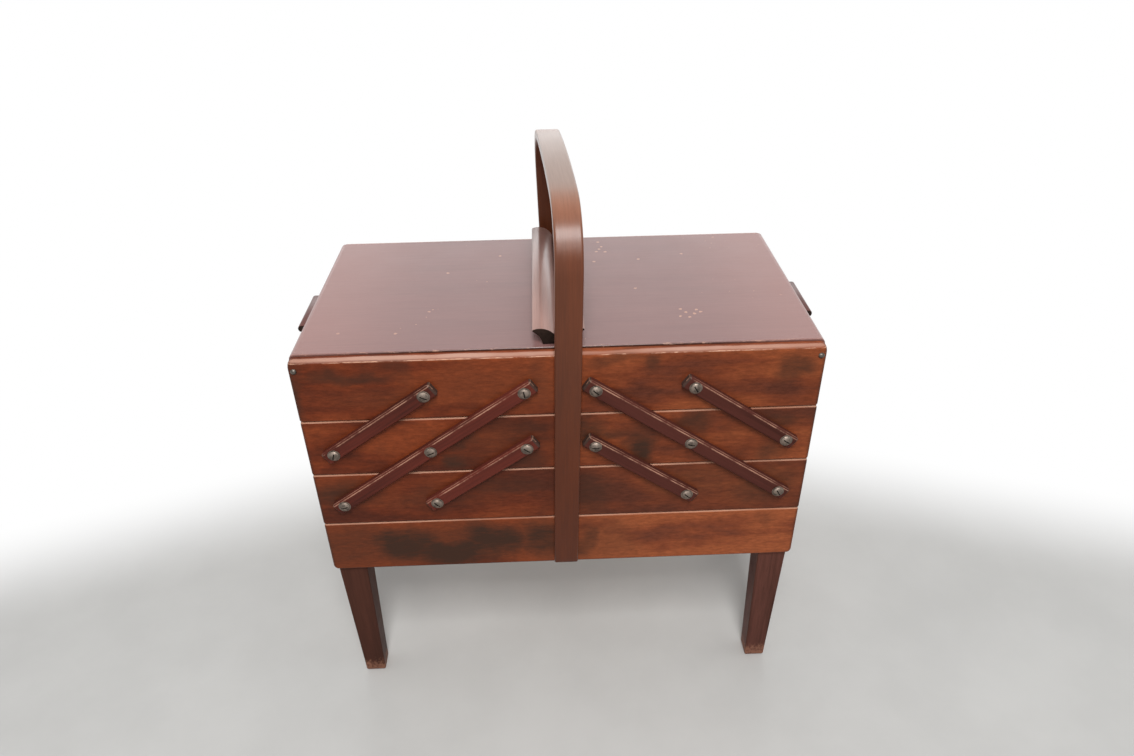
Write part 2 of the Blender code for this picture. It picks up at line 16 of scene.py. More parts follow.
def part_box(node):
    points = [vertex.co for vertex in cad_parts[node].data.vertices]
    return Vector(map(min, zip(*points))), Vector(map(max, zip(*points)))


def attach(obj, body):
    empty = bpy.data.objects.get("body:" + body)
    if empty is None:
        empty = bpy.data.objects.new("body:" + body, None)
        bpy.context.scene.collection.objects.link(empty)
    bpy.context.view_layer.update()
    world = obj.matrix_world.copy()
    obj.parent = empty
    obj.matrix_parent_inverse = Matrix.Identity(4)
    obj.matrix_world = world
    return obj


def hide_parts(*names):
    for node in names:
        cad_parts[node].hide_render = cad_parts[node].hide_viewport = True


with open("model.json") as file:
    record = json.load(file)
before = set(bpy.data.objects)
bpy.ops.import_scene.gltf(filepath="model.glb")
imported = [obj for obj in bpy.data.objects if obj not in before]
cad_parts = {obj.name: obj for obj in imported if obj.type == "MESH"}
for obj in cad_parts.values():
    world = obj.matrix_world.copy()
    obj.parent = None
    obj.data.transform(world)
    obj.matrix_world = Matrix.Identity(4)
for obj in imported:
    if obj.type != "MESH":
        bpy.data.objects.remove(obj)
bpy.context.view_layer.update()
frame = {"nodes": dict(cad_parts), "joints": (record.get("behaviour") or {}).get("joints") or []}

bl_info = {
    "name": "Accordion sewing stand",
    "version": (1, 0, 0),
    "blender": (4, 5, 0),
    "location": "View3D > Sidebar > Sewing stand",
    "description": "Finishes the boards and models the handle, pulls and screws of a sewing stand",
    "category": "Object",
}

SIDES = {"left": -1, "right": 1}
FACES = {"front": -1, "back": 1}
TIERS = ("base_lower", "base_upper", "middle", "top")

# Dark stained spots of each tier's long boards, and one painted shadow: centre x and z, half width and half
# height in millimetres, and how dark in percent
STAINS_AND_SHADOWS = {
    "top": (
        (-178, 388, 42, 7, 60), (-150, 362, 55, 16, 30), (-222, 370, 7, 30, 55), (-60, 372, 60, 25, 25),
        (-20, 375, 12, 28, 35), (78, 385, 8, 10, 60), (45, 392, 20, 6, 40), (203, 382, 14, 12, 60),
    ),
    "middle": (
        (-90, 315, 20, 10, 65), (-95, 292, 14, 12, 75), (-45, 322, 34, 12, 40), (-30, 295, 24, 14, 55),
        # The middle tier's mark at 24, 318 is a painted shadow of an arm's top end
        (-50, 308, 45, 24, 35), (24, 318, 16, 16, 80), (72, 300, 12, 22, 85), (42, 318, 24, 8, 55),
        (118, 322, 14, 10, 65), (192, 325, 18, 8, 55), (186, 290, 14, 10, 55),
    ),
    "base_upper": (
        (-200, 255, 32, 16, 65), (-110, 250, 50, 14, 35), (-60, 260, 50, 12, 40), (25, 245, 18, 25, 50),
        (190, 250, 30, 22, 50), (120, 258, 45, 18, 30),
    ),
    "base_lower": (
        (-150, 192, 38, 22, 95), (-65, 194, 38, 22, 95), (-105, 178, 50, 16, 95), (-20, 192, 22, 28, 80),
        (-205, 190, 45, 32, 50), (-110, 188, 95, 30, 50), (22, 185, 10, 24, 60), (48, 188, 26, 26, 30),
    ),
}

# A soft mark is full within the first share of its half size, and gone at the second
MARK_CORE = 0.3
MARK_REACH = 1.6

# How far each tier's varnish has darkened, below 0 where it has bleached
DARKENED = {"base_lower": -1.3, "base_upper": 0.5, "middle": 0.0, "top": -0.4}

# The varnish is ruddier on the left half, and has faded on the right half of the lowest boards
RUDDY_TINT = (0.85, 0.72, 0.66)
PLAIN_TINT = (1.0, 1.0, 1.0)
FADED_TINT = (1.22, 1.3, 1.36)

# Larger chips in the lids' varnish: x and y in millimetres
CHIPS = (
    (47, 100), (47, 82), (44, 76), (53, 75), (50, 88), (40, 52), (85, 55), (130, 65), (170, 105),
    (75, -10), (115, -60), (122, -63), (111, -54), (125, -56), (128, -60), (109, -67), (117, -69),
    (-105, 35), (-55, 72), (-190, -80), (-140, -83), (-115, -45),
)
CHIP_SIZE = 0.0014

# Height of the strip along the top edge of the top trays, worn and partly a painted reflection on the
# rounded rim, and of the worn strip of the other boards
RIM_WEAR_AND_SHEEN = 0.0030
SEAM_WEAR = 0.0013

# Half width and chamfer of the arms
ARM_HALF = 0.00675
ARM_CHAMFER = 0.0016

# Lid pulls: lip, distance of the foot's and the crest's line from the middle, and upright inner face
PULL_LIP = 0.0022
PULL_FOOT = 0.0134
PULL_CREST = 0.0136
PULL_UPRIGHT = 0.0045

# End pulls: radius of the nose, and how far the foot stands out from the wall
NOSE = 0.0035
END_FOOT = 0.0075

# Screw heads stand this far off the arms
HEAD_GAP = 0.0001

# Corners sharper than this stay sharp
SHARP_ANGLE = math.radians(40)

# Rings along the bent handle
HANDLE_CUTS = 220

# Lamps: name, place, aim, width and height, power, and whether shiny pieces mirror it
LAMPS = (
    ("key_lamp", (0.04, -1.24, 2.01), (0.0, -0.12, 0.35), (0.5, 0.65), 33.0, True),
    ("front_lamp", (0.04, -1.60, 1.55), (0.0, -0.12, 0.35), (0.5, 0.7), 8.0, True),
    ("ceiling_lamp", (0.0, 0.0, 2.6), (0.0, 0.0, 0.3), (3.0, 3.0), 5.0, False),
    ("left_lamp", (-1.75, 0.0, 1.4), (0.0, 0.0, 0.35), (1.2, 1.2), 7.0, False),
    ("right_lamp", (1.75, 0.0, 1.4), (0.0, 0.0, 0.35), (1.2, 1.2), 7.0, False),
    ("rear_lamp", (0.0, 1.75, 1.4), (0.0, 0.0, 0.35), (1.6, 1.2), 9.0, False),
    ("back_lamp", (0.0, 2.0, 0.85), (0.0, 0.0, 0.5), (2.4, 0.5), 3.5, True),
)
FLOOR_RADIUS = 6.0

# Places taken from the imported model
BOX_LOW, BOX_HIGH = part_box("base_lower_front")[0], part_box("base_lower_back")[1]
RIM_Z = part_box("lid_left")[1].z
SEAT_GAP = BOX_LOW.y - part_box("arm_long_left_front")[1].y
JOINTS = {joint["name"]: Vector(joint["pos_m"]) for joint in frame["joints"]}
PIVOT_Z = [JOINTS[name].z for name in ("right_arm_swing", "right_middle_level", "right_top_level")]
PIVOT_X = [JOINTS[name].x for name in ("right_top_level", "right_middle_level", "right_arm_swing")]
ARM_SLOPE = math.atan2(PIVOT_Z[1] - PIVOT_Z[0], PIVOT_X[2] - PIVOT_X[1])
ARM_SPACING = (PIVOT_X[2] - PIVOT_X[1]) * math.sin(ARM_SLOPE)


def tier_levels(tier):
    """Lowest and highest point of a tier's front board."""
    node = f"{tier}_front" if tier.startswith("base") else f"{tier}_left_front"
    low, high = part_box(node)
    return low.z, high.z


def colour(name, value, about):
    return FloatVectorProperty(name=name, description=about, subtype="COLOR", size=3, min=0.0, max=1.0,
                               default=value)


def length(name, value, about):
    return FloatProperty(name=name, description=about, unit="LENGTH", default=value)


class SEWING_PG_wood(bpy.types.PropertyGroup):
    """Colours of the varnished and bare wood."""

    board_light: colour("Board, light", (0.232, 0.058, 0.020), "Orange-brown of the light grain")
    board_mid: colour("Board, middle", (0.160, 0.037, 0.014), "Red-brown between the streaks")
    board_deep: colour("Board, deep", (0.092, 0.025, 0.013), "Darkened varnish")
    # Also the colour of painted shade and of a painted shadow on the boards
    board_stain_and_shade: colour("Board, dark", (0.046, 0.020, 0.012), "Dark brown stains")
    # Partly worn wood and partly a painted reflection on the rounded rim
    rim: colour("Rim", (0.45, 0.262, 0.20), "Thin varnish on the rounded rim of the top trays")
    lid_light: colour("Lid, light", (0.200, 0.100, 0.092), "Dusty red-brown of the lids")
    lid_dark: colour("Lid, dark", (0.150, 0.076, 0.071), "Darker figure of the lids")
    lid_worn: colour("Lid, worn", (0.31, 0.147, 0.125), "Thin varnish near the outer ends of the lids")
    # Painted shade on the upright faces of the lids and their rails
    lid_side_painted_shade: colour("Lid edge", (0.060, 0.019, 0.012), "Dark upright edges of the lids")
    arm_light: colour("Arm, light", (0.115, 0.025, 0.017), "Red-brown of the arms")
    arm_brown: colour("Arm, brown", (0.080, 0.023, 0.017), "Browner varnish of the right arms")
    arm_dark: colour("Arm, dark", (0.050, 0.015, 0.011), "Dark streaks of the arms")
    arm_end: colour("Arm end", (0.055, 0.034, 0.027), "End grain of the arms")
    hoop_light: colour("Handle, light", (0.094, 0.020, 0.005), "Brown of the bent handle")
    hoop_dark: colour("Handle, dark", (0.058, 0.013, 0.004), "Fine streaks of the bent handle")
    rubbed: colour("Rubbed wood", (0.35, 0.165, 0.105), "Wood where use has thinned the varnish")
    # Partly faded wood and partly a painted reflection on the crown
    hoop_pale_and_sheen: colour("Handle, pale", (0.25, 0.19, 0.16), "Faded crown of the handle")
    leg_light: colour("Leg, light", (0.076, 0.029, 0.020), "Brown of the legs")
    leg_red: colour("Leg, red", (0.115, 0.044, 0.033), "Redder varnish of the right legs")
    leg_dark: colour("Leg, dark", (0.040, 0.018, 0.013), "Dark streaks of the legs")
    pull_light: colour("Pull, light", (0.32, 0.18, 0.15), "Thin varnish of the pulls")
    pull_dark: colour("Pull, dark", (0.19, 0.10, 0.082), "Darker streaks of the pulls")
    end_light: colour("End grain, light", (0.030, 0.018, 0.014), "Lighter rings of the pulls' end grain")
    end_grain: colour("End grain, dark", (0.014, 0.009, 0.007), "Dark rings of the pulls' end grain")
    bare: colour("Bare wood", (0.56, 0.31, 0.21), "Wood where the varnish has worn off")
    raw: colour("Raw wood", (0.46, 0.28, 0.15), "Unvarnished wood inside the trays")


class SEWING_PG_handle(bpy.types.PropertyGroup):
    """Sizes of the bent handle."""

    width: length("Width", 0.0226, "Width of the bent strip")
    thickness: length("Thickness", 0.0080, "Thickness of the bent strip")
    rise: length("Rise", 0.0692, "Height of the straight uprights above the lids")
    corner: length("Corner", 0.0553, "Outer radius of the two bends")
    corner_angle: FloatProperty(name="Corner angle", description="Turn of each bend", subtype="ANGLE",
                                default=math.radians(84.1))
    edge: length("Edge", 0.0016, "Radius of the strip's long edges")
    shift: length("Shift", 0.0022, "How far the strip stands to the right of the middle")
    wind: length("Wind", 0.0077, "Sideways twist that the strip has taken at its crown")
    lean: length("Lean", 0.0015, "How far the uprights stand out at the top of their straight run")


class SEWING_PG_screw(bpy.types.PropertyGroup):
    """Sizes and colour of the pivot screws."""

    head: length("Head", 0.0098, "Diameter of the domed head")
    dome: length("Dome", 0.0024, "Height of the dome")
    washer: length("Washer", 0.0112, "Diameter of the washer under the head")
    washer_thickness: length("Washer thickness", 0.0005, "Thickness of the washer")
    slot_width: length("Slot width", 0.0011, "Width of the driver slot")
    slot_depth: length("Slot depth", 0.0006, "Depth of the driver slot")
    metal: colour("Metal", (0.25, 0.20, 0.165), "Tarnished brass")
    tarnish: colour("Tarnish", (0.085, 0.068, 0.056), "Dark tarnish in patches and in the slot")


class SEWING_PG_stage(bpy.types.PropertyGroup):
    """Camera, light and floor."""

    camera_place: FloatVectorProperty(name="Camera", description="Place of the camera", size=3,
                                      subtype="TRANSLATION", unit="LENGTH",
                                      default=(-0.0095, -0.6986, 0.7486))
    pitch: FloatProperty(name="Pitch", description="How far the camera looks down", subtype="ANGLE",
                         default=math.radians(32.823))
    yaw: FloatProperty(name="Yaw", description="How far the camera turns to the right", subtype="ANGLE",
                       default=math.radians(1.552))
    roll: FloatProperty(name="Roll", description="Tilt of the camera", subtype="ANGLE",
                        default=math.radians(-0.986))
    lens: FloatProperty(name="Lens", description="Focal length for a 36 mm wide sensor", default=25.872)
    floor: colour("Floor", (0.48, 0.475, 0.46), "Pale grey floor")


class Finish:
    """A material, with one short call for each kind of node."""

    def __init__(self, name, roughness=0.4, specular=0.5, coat=0.0, coat_roughness=0.15, metallic=0.0,
                 coat_ior=1.5):
        self.material = bpy.data.materials.new(name)
        self.material.use_nodes = True
        self.nodes = self.material.node_tree.nodes
        self.links = self.material.node_tree.links
        self.shader = self.nodes["Principled BSDF"]
        self.shader.inputs["Roughness"].default_value = roughness
        self.shader.inputs["Specular IOR Level"].default_value = specular
        self.shader.inputs["Metallic"].default_value = metallic
        self.shader.inputs["Coat Weight"].default_value = coat
        self.shader.inputs["Coat Roughness"].default_value = coat_roughness
        self.shader.inputs["Coat IOR"].default_value = coat_ior

    def node(self, kind, inputs=(), **settings):
        made = self.nodes.new(kind)
        for name, value in settings.items():
            setattr(made, name, value)
        for key, value in dict(inputs).items():
            self.feed(made.inputs[key], value)
        return made

    def feed(self, socket, value):
        if isinstance(value, bpy.types.NodeSocket):
            self.links.new(value, socket)
        elif socket.type == "RGBA" and len(value) == 3:
            socket.default_value = (*value, 1.0)
        else:
            socket.default_value = value

    def set(self, name, value):
        self.feed(self.shader.inputs[name], value)

    def place(self):
        return self.node("ShaderNodeTexCoord").outputs["Object"]

    def facing(self):
        return self.node("ShaderNodeTexCoord").outputs["Normal"]

    def attribute(self, name):
        return self.node("ShaderNodeAttribute", attribute_name=name).outputs["Vector"]

    def split(self, vector):
        return self.node("ShaderNodeSeparateXYZ", {0: vector}).outputs

    def moved(self, vector, scale=(1, 1, 1), shift=(0, 0, 0), turn=(0, 0, 0)):
        inputs = {"Vector": vector, "Scale": scale, "Location": shift, "Rotation": turn}
        return self.node("ShaderNodeMapping", inputs).outputs[0]

    def math(self, operation, first, second=0.0, third=0.0):
        return self.node("ShaderNodeMath", {0: first, 1: second, 2: third}, operation=operation).outputs[0]

    def rise(self, value, low, high):
        """0 below low, 1 above high and a smooth step between; low may be the larger."""
        inputs = {"Value": value, "From Min": low, "From Max": high}
        return self.node("ShaderNodeMapRange", inputs, interpolation_type="SMOOTHSTEP").outputs[0]

    def noise(self, vector, stretch, detail, roughness, shift=(0, 0, 0), distortion=0.0):
        """Noise from 0 to 1 whose cells are about 1 / stretch metres long on each axis."""
        inputs = {"Vector": self.moved(vector, stretch, shift), "Scale": 1.0, "Detail": detail,
                  "Roughness": roughness, "Distortion": distortion}
        return self.node("ShaderNodeTexNoise", inputs).outputs[0]

    def around(self, middle, value, reach):
        """The middle, moved up or down by a value from 0 to 1 that is spread over reach."""
        return self.math("MULTIPLY_ADD", self.math("SUBTRACT", value, 0.5), reach, middle)

    def ramp(self, value, *stops):
        made = self.node("ShaderNodeValToRGB", {0: value})
        elements = made.color_ramp.elements
        while len(elements) < len(stops):
            elements.new(0.5)
        for element, (position, shade) in zip(elements, stops):
            element.position = position
            element.color = (*shade, 1.0)
        return made.outputs[0]

    def mix(self, factor, first, second, blend="MIX"):
        made = self.node("ShaderNodeMix", data_type="RGBA", blend_type=blend)
        self.feed(made.inputs[0], factor)
        self.feed(made.inputs[6], first)
        self.feed(made.inputs[7], second)
        return made.outputs[2]

    def warped(self, vector, scale, reach):
        """The vector, pushed about by up to half of reach."""
        push = self.node("ShaderNodeTexNoise", {"Vector": vector, "Scale": scale, "Detail": 3.0})
        centred = self.node("ShaderNodeVectorMath", {0: push.outputs["Color"], 1: (0.5, 0.5, 0.5)},
                            operation="SUBTRACT")
        inputs = {0: centred.outputs[0], 1: (reach, reach, reach), 2: vector}
        return self.node("ShaderNodeVectorMath", inputs, operation="MULTIPLY_ADD").outputs[0]

    def marks(self, vector, places):
        """Soft marks, each an (x, y, z) centre, an (x, y, z) half size (0 for any) and a strength."""
        total = 0.0
        for centre, size, strength in places:
            scale = [1 / half if half else 0.0 for half in size]
            shift = [-middle * each for middle, each in zip(centre, scale)]
            spread = self.moved(vector, scale, shift)
            away = self.node("ShaderNodeVectorMath", {0: spread}, operation="LENGTH").outputs["Value"]
            inputs = {"Value": away, "From Min": MARK_REACH, "From Max": MARK_CORE, "To Max": strength}
            mark = self.node("ShaderNodeMapRange", inputs, interpolation_type="SMOOTHSTEP")
            total = self.math("MAXIMUM", total, mark.outputs[0])
        return total

    def bump(self, height, distance, strength=1.0):
        made = self.node("ShaderNodeBump", {"Height": height, "Distance": distance, "Strength": strength})
        self.set("Normal", made.outputs[0])


def wood_grain(finish, grain, light, mid, dark, seed, depth=1.0):
    """Colour and grain height of stained wood. The grain runs along the vector's X."""
    shift = (seed * 1.37, seed * 0.73, seed * 2.11)
    figure = finish.noise(grain, (4.0, 24, 24), 4.0, 0.55, shift, 0.5)
    streak = finish.noise(grain, (9, 330, 330), 3.0, 0.6, shift)
    pores = finish.noise(grain, (70, 1700, 1700), 1.0, 0.5, shift)
    tone = finish.around(0.5, figure, 0.8 * depth)
    tone = finish.around(tone, streak, 0.4 * depth)
    shade = finish.ramp(tone, (0.33, dark), (0.46, mid), (0.60, light))
    lines = finish.rise(pores, 0.55, 0.75)
    shade = finish.mix(finish.math("MULTIPLY", lines, 0.3 * depth), shade, dark)
    return shade, pores


def clouded_grain(finish, grain, wood, darkened, seed):
    """Colour and grain height of the boards: clouds of varnish over faint grain along the vector's X."""
    shift = (seed * 2.31, seed * 1.17, seed * 0.71)
    cloud = finish.noise(finish.warped(grain, 14, 0.03), (7, 18, 18), 3.0, 0.55, shift)
    streak = finish.noise(grain, (6, 150, 150), 4.0, 0.6, shift)
    pores = finish.noise(grain, (70, 1700, 1700), 1.0, 0.5, shift)
    fine = finish.noise(grain, (130, 420, 420), 4.0, 0.7, shift)
    tone = finish.around(0.52 - 0.12 * darkened, cloud, 1.8)
    tone = finish.around(tone, streak, 0.4)
    shade = finish.ramp(tone, (0.28, wood.board_deep), (0.48, wood.board_mid), (0.68, wood.board_light))
    shade = finish.mix(max(0.45 * darkened, 0.0), shade, wood.board_deep)
    shade = finish.mix(1.0, shade, finish.math("MULTIPLY_ADD", fine, 1.3, 0.35), "MULTIPLY")
    lines = finish.math("MULTIPLY", finish.rise(pores, 0.55, 0.8), 0.3)
    return finish.mix(lines, shade, wood.board_deep), pores


def board_finish(wood, name, tier, along, inside_axis, inside_sign, seed, stains_and_shadows=()):
    """Varnished board: bare along its worn top edge, on the top trays' rim partly a painted reflection,
    stained in places, darkened by painted shade and a painted shadow in places, and raw on its inner face.
    """
    low, high = tier_levels(tier)
    top = tier == "top"
    # On the top trays the strip takes the rim colour: worn wood and partly a painted reflection
    bare_height, worn_shade = (RIM_WEAR_AND_SHEEN, wood.rim) if top else (SEAM_WEAR, wood.bare)
    finish = Finish(name, specular=0.1)
    place = finish.place()
    x, y, z = finish.split(place)
    turn = (0, 0, 0) if along == "X" else (0, 0, math.pi / 2)
    shade, pores = clouded_grain(finish, finish.moved(place, turn=turn), wood, DARKENED[tier], seed)
    right_tint = FADED_TINT if tier == "base_lower" else PLAIN_TINT
    tint = finish.mix(finish.rise(x, 0.06, -0.06), right_tint, RUDDY_TINT)
    shade = finish.mix(1.0, shade, tint, "MULTIPLY")

    # Dark stained spots and a painted shadow, soaked in along the grain
    loose = finish.warped(place, 30, 0.035)
    places = [((cx / 1000, 0, cz / 1000), (wide / 1000, 0, tall / 1000), dark / 100)
              for cx, cz, wide, tall, dark in stains_and_shadows]
    stain_and_shadow = finish.marks(loose, places)
    cloud = finish.noise(loose, (13, 13, 16), 3.0, 0.6, (seed * 3.1, 0, 0))
    stain_and_shadow = finish.math("MAXIMUM", stain_and_shadow, finish.math("MULTIPLY", finish.rise(cloud, 0.55, 0.78), 0.4))
    soaked = finish.noise(place, (60, 60, 260), 5.0, 0.7)
    stain_and_shadow = finish.math("MULTIPLY", stain_and_shadow, finish.math("MULTIPLY_ADD", soaked, 1.2, 0.5))
    shade = finish.mix(stain_and_shadow, shade, wood.board_stain_and_shade)

    # Darker lower edge and ends, partly painted shade and partly grime, and a worn strip along the top
    # edge, on the top trays' rim partly a painted reflection
    ragged = finish.noise(place, (70, 70, 260), 4.0, 0.65)
    patchy = finish.noise(place, (9, 9, 9), 3.0, 0.55, (seed, 0, 0))
    below = finish.around(finish.math("SUBTRACT", high, z), ragged, bare_height * 0.5)
    worn = finish.rise(below, bare_height * 1.1, bare_height * (0.3 if top else 0.92))
    worn = finish.math("MULTIPLY", worn, finish.rise(patchy, 0.2, 0.42))
    if top and along == "X":
        behind = finish.math("SUBTRACT", BOX_HIGH.y, finish.math("ABSOLUTE", y))
        behind = finish.math("MULTIPLY_ADD", patchy, 0.008, behind)
        worn = finish.math("MULTIPLY", worn, finish.rise(behind, 0.0092, 0.0074))
    # Painted shade with some grime along each board's lowest 2 mm, above the tier or legs below; darker
    # towards the box's ends and over the end boards' outer faces
    dim = finish.rise(finish.math("SUBTRACT", z, low), 0.0020, 0.0005)
    end = finish.rise(finish.math("ABSOLUTE", x), BOX_HIGH.x - 0.0040, BOX_HIGH.x - 0.001)
    edge_shade_and_grime = finish.math("MULTIPLY", finish.math("MAXIMUM", dim, end), 0.5)
    shade = finish.mix(edge_shade_and_grime, shade, wood.board_stain_and_shade)
    thick = finish.math("MULTIPLY", finish.rise(patchy, 0.42, 0.7), 0.55)
    bare = finish.mix(thick, worn_shade, wood.board_light)
    shade = finish.mix(finish.math("MULTIPLY", worn, 0.9 if top else 0.6), shade, bare)
    if top:
        off_line = finish.math("ABSOLUTE", finish.math("SUBTRACT", below, bare_height))
        line = finish.rise(off_line, 0.0006, 0.0002)
        shade = finish.mix(finish.math("MULTIPLY", line, finish.rise(ragged, 0.4, 0.6)), shade, wood.bare)

    # Raw wood on the inner face
    facing = finish.split(finish.facing())["XYZ".index(inside_axis)]
    across = (x, y)["XY".index(inside_axis)]
    outward = finish.math("MULTIPLY", facing, finish.math("SIGN", across))
    inner = finish.rise(finish.math("MULTIPLY", outward, inside_sign), 0.4, 0.6)
    raw = finish.mix(finish.rise(pores, 0.35, 0.75), wood.raw, wood.board_light)
    finish.set("Base Color", finish.mix(inner, shade, raw))
    gloss = finish.math("MULTIPLY_ADD", ragged, 0.2, 0.3)
    finish.set("Roughness", finish.math("MAXIMUM", gloss, finish.math("MULTIPLY", inner, 0.7)))
    finish.bump(pores, 0.0001, 0.4)
    return finish.material


def plain_finish(name, turn, light, dark, seed, worn=None, worn_shade=None, end_shade=None, specular=0.3,
                 coat=0.0, attribute=None, depth=1.0, painted_side_shade=None, thin_from=0.0, thin_to=1.0,
                 thin_shade=None, thin_share=0.5, coat_ior=1.5, coat_roughness=0.22, fine=0.0):
    """Varnished wood whose grain is turned to run along a piece.

    worn(finish, x, y, z) gives where the varnish is off, end_shade colours the faces across the grain, and
    the side colour paints shade onto the upright faces. The varnish turns to thin_shade from thin_from to
    thin_to on both sides.
    The grain shows as strongly as depth says, and hair lines as strongly as fine says.
    """
    finish = Finish(name, specular=specular, coat=coat, coat_roughness=coat_roughness, coat_ior=coat_ior)
    place = finish.attribute(attribute) if attribute else finish.place()
    grain = finish.moved(place, turn=turn)
    mid = tuple((a + b) / 2 for a, b in zip(light, dark))
    shade, pores = wood_grain(finish, grain, light, mid, dark, seed, depth)
    if end_shade is not None:
        across = finish.math("ABSOLUTE", finish.split(finish.moved(finish.facing(), turn=turn))[0])
        shade = finish.mix(finish.math("MULTIPLY", finish.rise(across, 0.35, 0.6), 0.9), shade, end_shade)
    # Painted shade: the upright faces take the side colour
    if painted_side_shade is not None:
        level = finish.math("ABSOLUTE", finish.split(finish.facing())[2])
        shade = finish.mix(finish.rise(level, 0.8, 0.5), shade, painted_side_shade)
    if worn is not None:
        shade = finish.mix(worn(finish, *finish.split(place)), shade, worn_shade)
    if thin_shade is not None:
        out = finish.rise(finish.math("ABSOLUTE", finish.split(place)[0]), thin_from, thin_to)
        shade = finish.mix(finish.math("MULTIPLY", out, thin_share), shade, thin_shade)
    if fine:
        hair = finish.noise(grain, (25, 700, 700), 4.0, 0.7)
        shade = finish.mix(1.0, shade, finish.math("MULTIPLY_ADD", hair, fine, 1 - fine / 2), "MULTIPLY")
    finish.set("Base Color", shade)
    smear = finish.noise(place, (25, 25, 25), 3.0, 0.6, (seed, 0, 0))
    finish.set("Roughness", finish.math("MULTIPLY_ADD", smear, 0.22, 0.24))
    finish.bump(pores, 0.0001, 0.4)
    return finish.material


def paint(node, material):
    """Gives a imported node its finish."""
    slots = frame["nodes"][node].data.materials
    slots.clear()
    slots.append(material)


def finished_piece(name, bm, materials, body):
    """Turns a bmesh into a piece that rides on a body."""
    mesh = bpy.data.meshes.new(name)
    bm.to_mesh(mesh)
    bm.free()
    mesh.shade_smooth()
    mesh.set_sharp_from_angle(angle=SHARP_ANGLE)
    for material in materials:
        mesh.materials.append(material)
    piece = bpy.data.objects.new(name, mesh)
    bpy.context.scene.collection.objects.link(piece)
    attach(piece, body)
    return piece


def bevel(bm, edges, width, segments):
    bmesh.ops.bevel(bm, geom=edges, offset=width, offset_type="OFFSET", affect="EDGES", segments=segments,
                    profile=0.5, material=-1)


def cut(bm, point, normal):
    """Adds a line of edges where a plane meets the whole mesh."""
    whole = bm.verts[:] + bm.edges[:] + bm.faces[:]
    bmesh.ops.bisect_plane(bm, geom=whole, plane_co=point, plane_no=normal)


class SEWING_OT_boards(bpy.types.Operator):
    """Finish the boards of the base and of the trays"""

    bl_idname = "sewing.boards"
    bl_label = "Boards"

    def execute(self, context):
        wood = context.scene.sewing_wood
        for seed, tier in enumerate(TIERS):
            long = board_finish(wood, f"{tier}_long_boards", tier, "X", "Y", -1, seed, STAINS_AND_SHADOWS[tier])
            end = board_finish(wood, f"{tier}_end_boards", tier, "Y", "X", -1, seed + 7)
            inner = board_finish(wood, f"{tier}_inner_boards", tier, "Y", "X", 1, seed + 13)
            for node in frame["nodes"]:
                if node.startswith(tier):
                    if node.endswith(("_front", "_back")):
                        paint(node, long)
                    elif node.endswith("inner_end"):
                        paint(node, inner)
                    elif node.endswith("_end"):
                        paint(node, end)
        return {"FINISHED"}


class SEWING_OT_insides(bpy.types.Operator):
    """Finish the floors of the trays and base and the rails that hold the legs"""

    bl_idname = "sewing.insides"
    bl_label = "Floors and leg rails"

    def execute(self, context):
        wood = context.scene.sewing_wood
        ply = plain_finish("tray_plywood", (0, 0, 0), wood.raw, wood.board_light, 21)
        for node in frame["nodes"]:
            if node.endswith("_floor") or node.startswith("leg_rail"):
                paint(node, ply)
        return {"FINISHED"}


class SEWING_OT_lids(bpy.types.Operator):
    """Finish the lids and their hinge rails"""

    bl_idname = "sewing.lids"
    bl_label = "Lids"

    def execute(self, context):
        wood = context.scene.sewing_wood
        lid_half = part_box("lid_left")[1].y
        corner = lid_half + RIM_Z

        def chipped(finish, x, y, z):
            place = finish.place()
            loose = finish.warped(place, 700, 0.0025)
            size = (CHIP_SIZE, CHIP_SIZE, 0)
            chips = finish.marks(loose, [((cx / 1000, cy / 1000, 0), size, 1.0) for cx, cy in CHIPS])
            speck = finish.noise(place, (330, 330, 330), 1.0, 0.5)
            group = finish.noise(place, (14, 14, 14), 2.0, 0.5, (4, 2, 0))
            fine = finish.math("MULTIPLY", finish.rise(speck, 0.73, 0.77), finish.rise(group, 0.55, 0.62))
            spots = finish.math("MULTIPLY", finish.rise(finish.math("MAXIMUM", chips, fine), 0.3, 0.5), 0.6)
            edge = finish.math("ADD", finish.math("ABSOLUTE", y), z)
            edge = finish.rise(edge, corner - 0.0018, corner - 0.0011)
            broken = finish.noise(place, (130, 330, 330), 5.0, 0.75)
            edge = finish.math("MULTIPLY", edge, finish.rise(broken, 0.52, 0.66))
            return finish.math("MAXIMUM", spots, finish.math("MULTIPLY", edge, 0.6))

        # The lids' upright faces get painted shade
        material = plain_finish("lid_varnish", (0, 0, 0), wood.lid_light, wood.lid_dark, 31, chipped,
                                wood.bare, specular=0.5, coat=0.45, depth=0.4, fine=0.25,
                                painted_side_shade=wood.lid_side_painted_shade, thin_from=0.10, thin_to=BOX_HIGH.x,
                                thin_shade=wood.lid_worn)
        for side in SIDES:
            paint(f"lid_{side}", material)
            paint(f"lid_rail_{side}", material)
        return {"FINISHED"}


